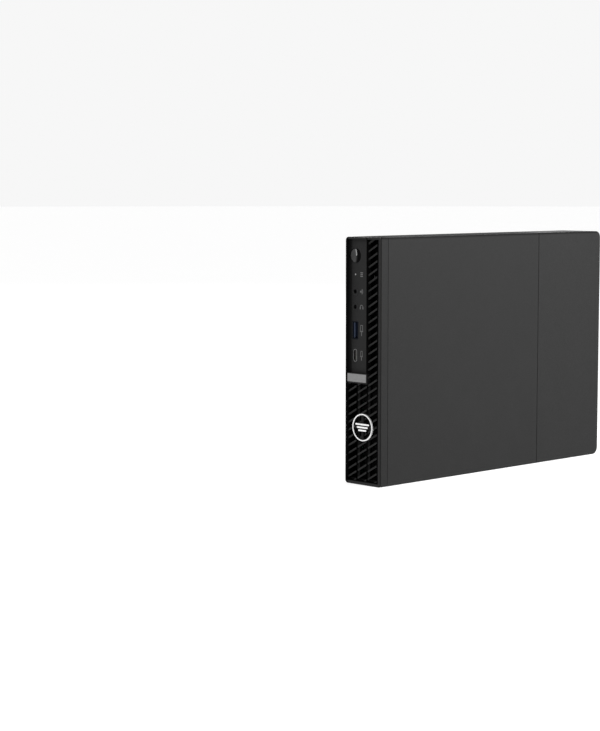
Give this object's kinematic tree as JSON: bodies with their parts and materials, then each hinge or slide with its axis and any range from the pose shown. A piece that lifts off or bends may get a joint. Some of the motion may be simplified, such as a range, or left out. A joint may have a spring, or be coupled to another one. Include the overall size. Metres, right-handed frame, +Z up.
{
  "type": "mini desktop computer",
  "caption": "Slim upright mini desktop computer with a slatted front, side sockets, power button, lift-off side cover and a pull-off cover over its rear cables.",
  "frame": {"origin": "middle of the footprint, at the bottom", "axes": "+Z up as it stands on its narrow side; front face towards -Y; removable side cover towards +X; feet and bracket holes towards -X"},
  "size_m": [0.036, 0.2566, 0.182],
  "materials": {
    "case_steel": "fine black powder coat on sheet steel",
    "cover_steel": "dark grey fine-textured coat on sheet steel",
    "cover_plastic": "dark grey fine-textured moulded plastic",
    "bezel_plastic": "black moulded plastic, fine spark-eroded texture",
    "button_plastic": "dark grey satin moulded plastic",
    "light_pipe": "translucent white light pipe",
    "label_metal": "brushed silver foil label, blank",
    "badge_bright": "smooth near-white bright ring",
    "badge_dark": "smooth black hoop and cross",
    "foot_rubber": "matt black rubber",
    "bright_steel": "bright plated sheet steel",
    "dark_steel": "dark nickel-plated sheet steel",
    "screw_black": "black zinc-plated steel",
    "screw_steel": "bright zinc-plated steel",
    "black_plastic": "matt black moulded plastic",
    "blue_plastic": "dark blue contact tongue",
    "board_green": "glass-fibre circuit board, dark green lacquer",
    "chip_black": "moulded chip packages",
    "lid_metal": "nickel-plated copper lid",
    "fin_aluminium": "extruded bare aluminium",
    "cell_steel": "stainless steel can",
    "drive_metal": "cast aluminium with a pressed lid",
    "cone_paper": "coated paper cone",
    "antenna_film": "flat printed antenna on plastic film"
  },
  "bodies": {
    "case": {"chassis_base": "case_steel", "front_bezel": "bezel_plastic", "label_strip": "label_metal", "badge_ring": "badge_bright", "badge_carrier": "badge_dark", "badge_mark": "badge_bright", "rubber_feet": "foot_rubber", "power_switch": "black_plastic", "activity_light": "light_pipe", "headset_jack": "black_plastic", "line_out_jack": "black_plastic", "type_a_front_shell": "dark_steel", "type_a_front_tongue": "blue_plastic", "type_c_front_shell": "bright_steel", "type_c_front_tongue": "black_plastic", "speaker": "black_plastic", "speaker_cone": "cone_paper", "system_board": "board_green", "board_screws": "screw_steel", "cpu_socket": "black_plastic", "processor": "lid_metal", "heatsink": "fin_aluminium", "heatsink_screws": "screw_steel", "fan_housing": "black_plastic", "fan_screws": "screw_steel", "memory_sockets": "black_plastic", "memory_modules": "board_green", "card_sockets": "black_plastic", "storage_card": "board_green", "radio_card": "board_green", "card_screws": "screw_steel", "coin_cell_holder": "black_plastic", "coin_cell": "cell_steel", "chipset": "chip_black", "power_coils": "chip_black", "power_capacitors": "drive_metal", "drive_caddy": "black_plastic", "hard_drive": "drive_metal", "drive_screws": "screw_steel", "drive_connector": "black_plastic", "rear_type_a_shells": "bright_steel", "rear_type_a_tongues": "blue_plastic", "network_socket": "bright_steel", "display_sockets": "bright_steel", "power_inlet": "black_plastic", "option_plate": "case_steel", "antenna_plugs": "black_plastic", "padlock_loop": "bright_steel", "antennas": "antenna_film"},
    "power_button": {"power_button": "button_plastic", "power_button_light": "light_pipe"},
    "fan": {"fan_rotor": "black_plastic"},
    "side_panel": {"side_cover": "cover_steel"},
    "panel_screw": {"cover_thumbscrew": "screw_black"},
    "cable_hood": {"cable_cover": "cover_plastic"},
    "hood_screw": {"cable_cover_screw": "screw_black"}
  },
  "joints": [
    {"name": "power_button_press", "type": "slide", "parent": "case", "child": "power_button", "axis": [0, 1, 0], "range_m": [0, 0.0008], "stiffness_N_per_m": 1200},
    {"name": "fan_spin", "type": "hinge", "parent": "case", "child": "fan", "pos_m": [0, -0.07125, 0.046], "axis": [1, 0, 0], "continuous": true},
    {"name": "side_cover_lift", "type": "slide", "parent": "case", "child": "side_panel", "axis": [1, 0, 0], "range_m": [0, 0.06]},
    {"name": "thumbscrew_turn", "type": "hinge", "parent": "case", "child": "panel_screw", "pos_m": [0.011, 0.05, 0.128], "axis": [0, 1, 0], "continuous": true},
    {"name": "cable_cover_pull", "type": "slide", "parent": "case", "child": "cable_hood", "axis": [0, 1, 0], "range_m": [0, 0.06]},
    {"name": "cable_screw_turn", "type": "hinge", "parent": "cable_hood", "child": "hood_screw", "pos_m": [-0.015, 0.05775, 0.091], "axis": [1, 0, 0], "continuous": true}
  ]
}
